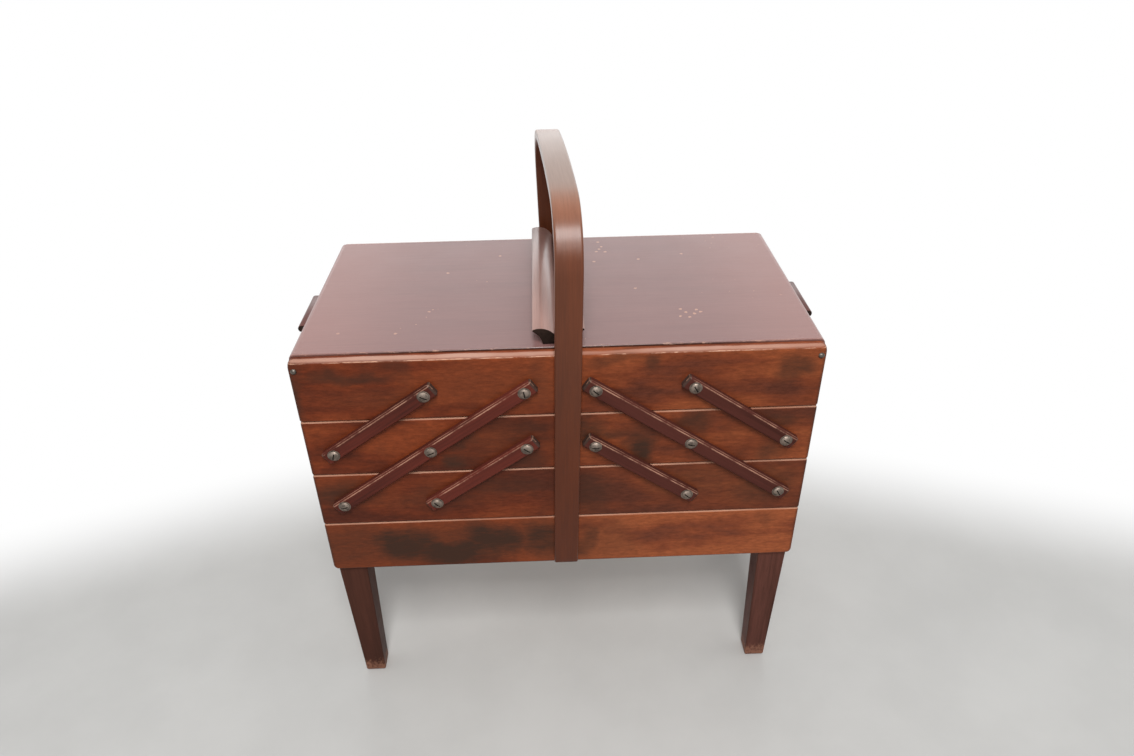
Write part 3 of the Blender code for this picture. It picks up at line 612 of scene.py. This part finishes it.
class SEWING_OT_arms(bpy.types.Operator):
    """Finish the arms, with pale lines along their upper edges and dark end grain"""

    bl_idname = "sewing.arms"
    bl_label = "Arms"

    def execute(self, context):
        wood = context.scene.sewing_wood
        face = -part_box("arm_long_left_front")[0].y
        for side, towards in SIDES.items():
            slope = -towards * ARM_SLOPE
            start = Vector((towards * PIVOT_X[2], 0.0, PIVOT_Z[0]))
            centre = Matrix.Rotation(slope, 3, "Y") @ start

            # Pale lines along the upper edges only: where the chamfer meets the front, and along the top
            # face's front edge
            def rubbed(finish, x, y, z):
                level = finish.split(finish.moved(finish.place(), turn=(0, slope, 0)))
                height = finish.math("SUBTRACT", level[2], centre.z)
                wrapped = finish.math("WRAP", height, ARM_SPACING / 2, -ARM_SPACING / 2)
                ragged = finish.noise(finish.place(), (60, 60, 60), 4.0, 0.65)
                inner = finish.math("ABSOLUTE", finish.math("SUBTRACT", wrapped, ARM_HALF - ARM_CHAMFER))
                inner = finish.math("MULTIPLY", finish.rise(inner, 0.0006, 0.0002), 0.6)
                behind = finish.math("SUBTRACT", face, finish.math("ABSOLUTE", y))
                outer = finish.math("ABSOLUTE", finish.math("SUBTRACT", behind, ARM_CHAMFER))
                upper = finish.rise(wrapped, 0.0, 0.001)
                outer = finish.math("MULTIPLY", finish.rise(outer, 0.0005, 0.0002), upper)
                lines = finish.math("MAXIMUM", inner, finish.math("MULTIPLY", outer, 0.35))
                return finish.math("MULTIPLY", lines, finish.rise(ragged, 0.33, 0.62))

            light = wood.arm_light if side == "left" else wood.arm_brown
            material = plain_finish(f"{side}_arm_varnish", (0, slope, 0), light, wood.arm_dark,
                                    41 + towards, rubbed, wood.bare, wood.arm_end, specular=0.05,
                                    depth=1.2, fine=0.35)
            for node in frame["nodes"]:
                if node.startswith("arm_") and side in node:
                    paint(node, material)
        return {"FINISHED"}


class SEWING_OT_legs(bpy.types.Operator):
    """Finish the legs, worn bare at the feet"""

    bl_idname = "sewing.legs"
    bl_label = "Legs"

    def execute(self, context):
        wood = context.scene.sewing_wood

        def scuffed(finish, x, y, z):
            ragged = finish.noise(finish.place(), (330, 330, 220), 4.0, 0.7)
            low = finish.math("MULTIPLY", finish.rise(z, 0.034, 0.002), 0.7)
            foot = finish.rise(finish.math("MULTIPLY_ADD", ragged, 1.4, low), 1.02, 1.5)
            return finish.math("MULTIPLY", foot, 0.55)

        turn = (0, math.pi / 2, 0)
        for side, light in (("left", wood.leg_light), ("right", wood.leg_red)):
            material = plain_finish(f"{side}_leg_varnish", turn, light, wood.leg_dark, 51, scuffed,
                                    wood.rubbed, specular=0.02, fine=0.3)
            for face in FACES:
                paint(f"leg_{face}_{side}", material)
        return {"FINISHED"}


class SEWING_OT_handle(bpy.types.Operator):
    """Model the bent handle as one strip that follows its uprights, bends and crown"""

    bl_idname = "sewing.handle"
    bl_label = "Handle"

    def execute(self, context):
        handle = context.scene.sewing_handle
        wood = context.scene.sewing_wood
        low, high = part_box("handle_hoop")
        outer = BOX_HIGH.y + SEAT_GAP + handle.thickness
        spring = RIM_Z + handle.rise
        corner_y = outer - handle.corner
        arch = handle.corner + corner_y / math.cos(handle.corner_angle)
        arch_z = spring - (arch - handle.corner) * math.sin(handle.corner_angle)
        upright = spring - low.z
        bend = handle.corner * handle.corner_angle
        crown = arch * (math.pi - 2 * handle.corner_angle)
        whole = 2 * (upright + bend) + crown

        def follow(along, depth):
            """Place of a point that lies depth below the strip's outer face."""
            mirror = 1
            if along > whole / 2:
                along, mirror = whole - along, -1
            if along < upright:
                return -mirror * (outer - depth), low.z + along
            if along < upright + bend:
                angle = (along - upright) / handle.corner
                radius = handle.corner - depth
                return -mirror * (corner_y + radius * math.cos(angle)), spring + radius * math.sin(angle)
            angle = handle.corner_angle + (along - upright - bend) / arch
            radius = arch - depth
            return -mirror * radius * math.cos(angle), arch_z + radius * math.sin(angle)

        strip = bmesh.new()
        bmesh.ops.create_cube(strip, size=1.0)
        bmesh.ops.scale(strip, vec=(handle.width, whole, handle.thickness), verts=strip.verts)
        bmesh.ops.translate(strip, vec=(0, whole / 2, -handle.thickness / 2), verts=strip.verts)
        bevel(strip, strip.edges[:], handle.edge, 3)
        runs = [edge for edge in strip.edges if abs(edge.verts[0].co.y - edge.verts[1].co.y) > whole / 2]
        bmesh.ops.subdivide_edges(strip, edges=runs, cuts=HANDLE_CUTS, use_grid_fill=True)
        rim = handle.edge + 0.0004
        half_width, half_thickness = handle.width / 2, handle.thickness / 2
        for side in (-1, 1):
            cut(strip, (side * (half_width - rim), 0, 0), (1, 0, 0))
            cut(strip, (0, 0, side * (half_thickness - rim) - half_thickness), (0, 0, 1))
        grain = strip.verts.layers.float_vector.new("strip")
        for vert in strip.verts:
            across, along, depth = vert.co
            vert[grain] = (along - whole / 2, across, depth)
            y, z = follow(along, -depth)
            aside = y / (outer - handle.thickness)
            wind = handle.wind * aside * (z - low.z) / (high.z - low.z)
            lean = handle.lean * aside * min((z - low.z) / (spring - low.z), 1.0)
            vert.co = (across + handle.shift - wind, y + lean, z)
        bmesh.ops.recalc_face_normals(strip, faces=strip.faces)

        def rubbed(finish, along, across, depth):
            ragged = finish.noise(finish.attribute("strip"), (40, 160, 160), 4.0, 0.7)
            edge = finish.math("SUBTRACT", handle.width / 2, finish.math("ABSOLUTE", across))
            edge = finish.rise(finish.math("MULTIPLY_ADD", ragged, 0.001, edge), 0.0012, 0.0004)
            away = finish.math("MULTIPLY_ADD", ragged, 0.03, finish.math("ABSOLUTE", along))
            grip = finish.math("MULTIPLY", finish.rise(away, 0.185, 0.085), 0.7)
            handled = finish.math("MULTIPLY", finish.rise(away, 0.40, 0.17), 0.10)
            grip = finish.math("MAXIMUM", grip, handled)
            held = finish.math("MULTIPLY_ADD", finish.rise(away, 0.24, 0.15), 0.4, 0.1)
            return finish.math("MAXIMUM", finish.math("MULTIPLY", edge, held), grip)

        # The crown turns to the pale colour: faded varnish and partly a painted reflection
        material = plain_finish("handle_varnish", (0, 0, 0), wood.hoop_light, wood.hoop_dark, 61, rubbed,
                                wood.rubbed, specular=0.05, coat=1.0, coat_ior=1.28, coat_roughness=0.29,
                                attribute="strip", depth=0.8, thin_from=0.11, thin_to=0.06,
                                thin_shade=wood.hoop_pale_and_sheen, thin_share=0.8, fine=0.6)
        piece = finished_piece("bent_handle", strip, (material,), "base")
        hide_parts("handle_hoop")
        return {"FINISHED"}


def arc_points(first, middle, last, steps):
    """Points of the round stretch through three points."""
    (ax, ay), (bx, by), (cx, cy) = first, middle, last
    cross = 2 * (ax * (by - cy) + bx * (cy - ay) + cx * (ay - by))
    a2, b2, c2 = ax * ax + ay * ay, bx * bx + by * by, cx * cx + cy * cy
    ux = (a2 * (by - cy) + b2 * (cy - ay) + c2 * (ay - by)) / cross
    uy = (a2 * (cx - bx) + b2 * (ax - cx) + c2 * (bx - ax)) / cross
    radius = math.hypot(ax - ux, ay - uy)
    start = math.atan2(ay - uy, ax - ux)
    through = (math.atan2(by - uy, bx - ux) - start) % math.tau
    turn = (math.atan2(cy - uy, cx - ux) - start) % math.tau
    if through > turn:
        turn -= math.tau
    angles = [start + turn * step / steps for step in range(steps + 1)]
    return [(ux + radius * math.cos(a), uy + radius * math.sin(a)) for a in angles]


def pull_bar(outline, low_y, high_y, towards, edge):
    """A moulded bar along Y from its outline in X and Z, with eased ends."""
    bm = bmesh.new()
    face = bm.faces.new([bm.verts.new((towards * x, low_y, z)) for x, z in outline])
    made = bmesh.ops.extrude_face_region(bm, geom=[face])
    moved = [item for item in made["geom"] if isinstance(item, bmesh.types.BMVert)]
    bmesh.ops.translate(bm, vec=(0, high_y - low_y, 0), verts=moved)
    bmesh.ops.recalc_face_normals(bm, faces=bm.faces)
    rims = [e for e in bm.edges if abs(e.verts[0].co.y - e.verts[1].co.y) < 1e-6]
    bevel(bm, rims, edge, 2)
    for face in bm.faces:
        face.material_index = int(abs(face.normal.y) > 0.9)
    return bm


def near_and_far(node):
    """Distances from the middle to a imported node's near and far side."""
    low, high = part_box(node)
    return sorted((abs(low.x), abs(high.x)))


def lid_pull_outline(node):
    """Outline in X and Z of a lid's pull: a round back and a lip over a hollow."""
    low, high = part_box(node)
    inner, reach = near_and_far(node)
    lip_top = (reach - PULL_LIP / 4, high.z - PULL_LIP / 2)
    lip_under = (reach - PULL_LIP / 2, lip_top[1] - PULL_LIP)
    hollow = ((lip_under[0] + PULL_FOOT) / 2 - PULL_LIP / 2, (lip_under[1] + low.z) / 2 + PULL_LIP / 2)
    outline = [(inner, low.z)]
    outline += arc_points((inner, RIM_Z + PULL_UPRIGHT), (PULL_CREST, high.z), lip_top, 24)
    outline.append((reach, (lip_top[1] + lip_under[1]) / 2))
    outline += arc_points(lip_under, hollow, (PULL_FOOT, low.z), 14)
    return outline


def end_pull_outline(node):
    """Outline in X and Z of an end pull: a flat top, a round nose and a hollow under it."""
    low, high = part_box(node)
    wall, reach = near_and_far(node)
    foot = BOX_HIGH.x + END_FOOT
    nose_x, nose_z = reach - NOSE, high.z - NOSE
    middle = (nose_x + NOSE * math.cos(math.pi / 12), nose_z + NOSE * math.sin(math.pi / 12))
    lip = (reach - NOSE / 2, nose_z - NOSE * math.sin(math.pi / 3))
    hollow = ((lip[0] + foot) / 2 - NOSE / 2, lip[1] - NOSE / 2)
    outline = [(wall, low.z), (wall, high.z)]
    outline += arc_points((nose_x, high.z), middle, lip, 12)
    outline += arc_points(lip, hollow, (foot, low.z), 12)[1:]
    return outline


class SEWING_OT_pulls(bpy.types.Operator):
    """Model the pull bars on the lids and the short pulls on the tray ends"""

    bl_idname = "sewing.pulls"
    bl_label = "Pulls"

    def execute(self, context):
        wood = context.scene.sewing_wood
        turn = (0, 0, math.pi / 2)
        lid_finish = plain_finish("lid_pull_varnish", turn, wood.pull_light, wood.pull_dark, 71,
                                  specular=0.5, coat=0.5)
        end_finish = plain_finish("end_pull_varnish", turn, wood.arm_light, wood.arm_dark, 73,
                                  specular=0.3, coat=0.3)
        cut_finish = plain_finish("pull_end_grain", turn, wood.end_light, wood.end_grain, 75,
                                  specular=0.02, fine=0.5)
        for side in SIDES:
            self.bar(side, "lid", lid_pull_outline, 0.0004, (lid_finish, cut_finish), f"{side}_lid")
            self.bar(side, "end", end_pull_outline, 0.0006, (end_finish, cut_finish), f"{side}_top_tray")
        return {"FINISHED"}

    def bar(self, side, kind, outline, edge, finishes, body):
        node = f"{kind}_pull_{side}"
        low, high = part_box(node)
        bar = pull_bar(outline(node), low.y, high.y, SIDES[side], edge)
        piece = finished_piece(f"{kind}_grip_{side}", bar, finishes, body)
        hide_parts(node)


def screw_metal(screw):
    finish = Finish("tarnished_brass", metallic=1.0)
    place = finish.place()
    cloud = finish.noise(place, (220, 220, 220), 3.0, 0.6)
    groove = finish.node("ShaderNodeAttribute", attribute_name="groove").outputs["Fac"]
    shade = finish.mix(finish.rise(cloud, 0.35, 0.75), screw.metal, screw.tarnish)
    finish.set("Base Color", finish.mix(groove, shade, tuple(0.25 * c for c in screw.tarnish)))
    finish.set("Roughness", finish.math("MULTIPLY_ADD", cloud, 0.3, 0.38))
    finish.bump(cloud, 0.00008, 0.4)
    return finish.material


def screw_head(screw, turn):
    """A slotted domed head on a thin washer, standing up along Z from its seat."""
    bm = bmesh.new()
    grime = bm.verts.layers.float.new("groove")
    radius = screw.head / 2
    rim = screw.washer_thickness + screw.dome * 0.28
    top = screw.washer_thickness + screw.dome
    shoulder = (radius * 0.7, screw.washer_thickness + screw.dome * 0.75)
    profile = [(0.0, 0.0), (screw.washer / 2, 0.0), (screw.washer / 2, screw.washer_thickness * 0.8),
               (screw.washer / 2 - screw.washer_thickness * 0.4, screw.washer_thickness),
               (radius, screw.washer_thickness)]
    profile += arc_points((radius, rim), shoulder, (0.0, top), 8)
    line = [bm.verts.new((r, 0, z)) for r, z in profile]
    edges = [bm.edges.new(pair) for pair in zip(line, line[1:])]
    bmesh.ops.spin(bm, geom=line + edges, axis=(0, 0, 1), cent=(0, 0, 0), angle=math.tau, steps=32,
                   use_merge=True)
    bmesh.ops.remove_doubles(bm, verts=bm.verts, dist=1e-7)
    slot = screw.slot_width / 2
    for offset in (-slot, slot):
        cut(bm, (0, offset, 0), (0, 1, 0))
    floor = top - screw.slot_depth
    groove = [face for face in bm.faces if abs(face.calc_center_median().y) < slot * 0.99
              and face.calc_center_median().z > floor]
    made = bmesh.ops.extrude_face_region(bm, geom=groove)
    for vert in (item for item in made["geom"] if isinstance(item, bmesh.types.BMVert)):
        vert.co.z = min(vert.co.z, floor)
        vert[grime] = 1.0
    bmesh.ops.delete(bm, geom=groove, context="FACES")
    bmesh.ops.rotate(bm, matrix=Matrix.Rotation(turn, 3, "Z"), verts=bm.verts)
    return bm


class SEWING_OT_screws(bpy.types.Operator):
    """Model the heads and washers of the pivot screws, one group for each body, and finish the lid pins"""

    bl_idname = "sewing.screws"
    bl_label = "Pivot screws and lid pins"

    def execute(self, context):
        screw = context.scene.sewing_screw
        metal = screw_metal(screw)
        seat = -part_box("arm_long_left_front")[0].y
        groups = {"base": [(towards * x, PIVOT_Z[0]) for towards in SIDES.values() for x in PIVOT_X[1:]]}
        for side, towards in SIDES.items():
            groups[f"{side}_middle_tray"] = [(towards * x, PIVOT_Z[1]) for x in PIVOT_X]
            groups[f"{side}_top_tray"] = [(towards * x, PIVOT_Z[2]) for x in PIVOT_X[:2]]
        for body, places in groups.items():
            whole = bmesh.new()
            for towards_y in FACES.values():
                for count, (x, z) in enumerate(places):
                    head = screw_head(screw, (count * 1.9 + z * 40 + x * 11) % math.pi)
                    upright = Matrix.Rotation(-towards_y * math.pi / 2, 4, "X")
                    head.transform(Matrix.Translation((x, towards_y * (seat + HEAD_GAP), z)) @ upright)
                    mesh = bpy.data.meshes.new("head")
                    head.to_mesh(mesh)
                    head.free()
                    whole.from_mesh(mesh)
                    bpy.data.meshes.remove(mesh)
            bmesh.ops.recalc_face_normals(whole, faces=whole.faces)
            finished_piece(f"{body}_screw_heads", whole, (metal,), body)
        self.lid_pins()
        return {"FINISHED"}

    def lid_pins(self):
        steel = Finish("pin_metal", roughness=0.42, metallic=1.0)
        grime = steel.noise(steel.place(), (400, 400, 400), 3.0, 0.6)
        shade = steel.mix(steel.rise(grime, 0.4, 0.65), (0.16, 0.14, 0.12), (0.05, 0.042, 0.036))
        steel.set("Base Color", shade)
        steel.bump(grime, 0.00005, 0.4)
        for node in frame["nodes"]:
            if node.startswith("lid_pin"):
                paint(node, steel.material)


def background_rays(tree):
    """1 for rays from the camera or by way of a mirror or glass, and 0 for rays that light the object."""
    path = tree.nodes.new("ShaderNodeLightPath")
    shown = path.outputs["Is Camera Ray"]
    for kind in ("Is Glossy Ray", "Is Transmission Ray"):
        either = tree.nodes.new("ShaderNodeMath")
        either.operation = "MAXIMUM"
        tree.links.new(shown, either.inputs[0])
        tree.links.new(path.outputs[kind], either.inputs[1])
        shown = either.outputs[0]
    return shown


class SEWING_OT_stage(bpy.types.Operator):
    """Set the camera, the soft light, the pale floor and the white surroundings"""

    bl_idname = "sewing.stage"
    bl_label = "Stage"

    def execute(self, context):
        stage = context.scene.sewing_stage
        scene = context.scene
        scene.view_settings.view_transform = "Standard"
        self.camera(scene, stage)
        self.floor(stage)
        self.surroundings(scene)
        for lamp in LAMPS:
            self.lamp(*lamp)
        return {"FINISHED"}

    def camera(self, scene, stage):
        cos_pitch, sin_pitch = math.cos(stage.pitch), math.sin(stage.pitch)
        ahead = Vector((math.sin(stage.yaw) * cos_pitch, math.cos(stage.yaw) * cos_pitch, -sin_pitch))
        right = Vector((math.cos(stage.yaw), -math.sin(stage.yaw), 0.0))
        up = right.cross(ahead)
        rolled_right = right * math.cos(stage.roll) + up * math.sin(stage.roll)
        rolled_up = up * math.cos(stage.roll) - right * math.sin(stage.roll)
        data = bpy.data.cameras.new("camera")
        data.sensor_width = 36.0
        data.sensor_fit = "HORIZONTAL"
        data.lens = stage.lens
        data.clip_start = 0.01
        camera = bpy.data.objects.new("camera", data)
        scene.collection.objects.link(camera)
        turn = Matrix((rolled_right, rolled_up, -ahead)).transposed()
        camera.matrix_world = Matrix.Translation(Vector(stage.camera_place)) @ turn.to_4x4()
        scene.camera = camera

    def floor(self, stage):
        bm = bmesh.new()
        bmesh.ops.create_circle(bm, cap_ends=True, segments=96, radius=FLOOR_RADIUS)
        mesh = bpy.data.meshes.new("floor")
        bm.to_mesh(mesh)
        bm.free()
        finish = Finish("pale_floor", roughness=0.55)
        place = finish.place()
        mottle = finish.noise(place, (7, 7, 7), 5.0, 0.6)
        light = tuple(stage.floor)
        dark = tuple(0.93 * c for c in light)
        finish.set("Base Color", finish.mix(finish.rise(mottle, 0.3, 0.7), light, dark))

        # The floor turns white behind the stand and far from it
        white = finish.node("ShaderNodeEmission", {"Color": (1, 1, 1, 1), "Strength": 1.0})
        axes = finish.split(place)
        behind = finish.math("MULTIPLY_ADD", finish.math("ABSOLUTE", axes["X"]), 0.38, axes["Y"])
        away = finish.node("ShaderNodeVectorMath", {0: place}, operation="LENGTH").outputs["Value"]
        far = finish.math("MAXIMUM", finish.rise(behind, 0.20, 0.42), finish.rise(away, 1.1, 2.2))
        far = finish.math("MULTIPLY", far, background_rays(finish.material.node_tree))
        surfaces = {0: far, 1: finish.shader.outputs[0], 2: white.outputs[0]}
        fade = finish.node("ShaderNodeMixShader", surfaces)
        finish.links.new(fade.outputs[0], finish.nodes["Material Output"].inputs["Surface"])
        mesh.materials.append(finish.material)
        floor = bpy.data.objects.new("floor", mesh)
        bpy.context.scene.collection.objects.link(floor)

    def surroundings(self, scene):
        world = bpy.data.worlds.new("white_room")
        world.use_nodes = True
        nodes, links = world.node_tree.nodes, world.node_tree.links
        light = nodes["Background"]
        light.inputs["Color"].default_value = (0.97, 0.98, 1.0, 1.0)
        light.inputs["Strength"].default_value = 0.33
        shown = nodes.new("ShaderNodeBackground")
        shown.inputs["Color"].default_value = (1.0, 1.0, 1.0, 1.0)
        shown.inputs["Strength"].default_value = 1.0
        mixed = nodes.new("ShaderNodeMixShader")
        links.new(background_rays(world.node_tree), mixed.inputs[0])
        links.new(light.outputs[0], mixed.inputs[1])
        links.new(shown.outputs[0], mixed.inputs[2])
        links.new(mixed.outputs[0], nodes["World Output"].inputs["Surface"])
        scene.world = world

    def lamp(self, name, place, target, size, power, mirrored):
        data = bpy.data.lights.new(name, "AREA")
        data.shape = "RECTANGLE"
        data.size, data.size_y = size
        data.energy = power
        lamp = bpy.data.objects.new(name, data)
        bpy.context.scene.collection.objects.link(lamp)
        aim = (Vector(target) - Vector(place)).to_track_quat("-Z", "Y")
        lamp.matrix_world = Matrix.Translation(place) @ aim.to_matrix().to_4x4()
        lamp.visible_camera = False
        lamp.visible_glossy = mirrored


PIECES = (SEWING_OT_boards, SEWING_OT_insides, SEWING_OT_lids, SEWING_OT_arms, SEWING_OT_legs,
          SEWING_OT_handle, SEWING_OT_pulls, SEWING_OT_screws, SEWING_OT_stage)


class SEWING_PT_stand(bpy.types.Panel):
    """Lists the steps that finish the stand"""

    bl_idname = "SEWING_PT_stand"
    bl_label = "Sewing stand"
    bl_space_type = "VIEW_3D"
    bl_region_type = "UI"
    bl_category = "Sewing stand"

    def draw(self, context):
        for piece in PIECES:
            self.layout.operator(piece.bl_idname)


GROUPS = {"sewing_wood": SEWING_PG_wood, "sewing_handle": SEWING_PG_handle,
          "sewing_screw": SEWING_PG_screw, "sewing_stage": SEWING_PG_stage}
CLASSES = (*GROUPS.values(), *PIECES, SEWING_PT_stand)


def register():
    for item in CLASSES:
        bpy.utils.register_class(item)
    for name, group in GROUPS.items():
        setattr(bpy.types.Scene, name, PointerProperty(type=group))


def unregister():
    for name in GROUPS:
        delattr(bpy.types.Scene, name)
    for item in reversed(CLASSES):
        bpy.utils.unregister_class(item)


def main():
    register()
    bpy.ops.sewing.boards()
    bpy.ops.sewing.insides()
    bpy.ops.sewing.lids()
    bpy.ops.sewing.arms()
    bpy.ops.sewing.legs()
    bpy.ops.sewing.handle()
    bpy.ops.sewing.pulls()
    bpy.ops.sewing.screws()
    bpy.ops.sewing.stage()


if __name__ == "__main__":
    main()
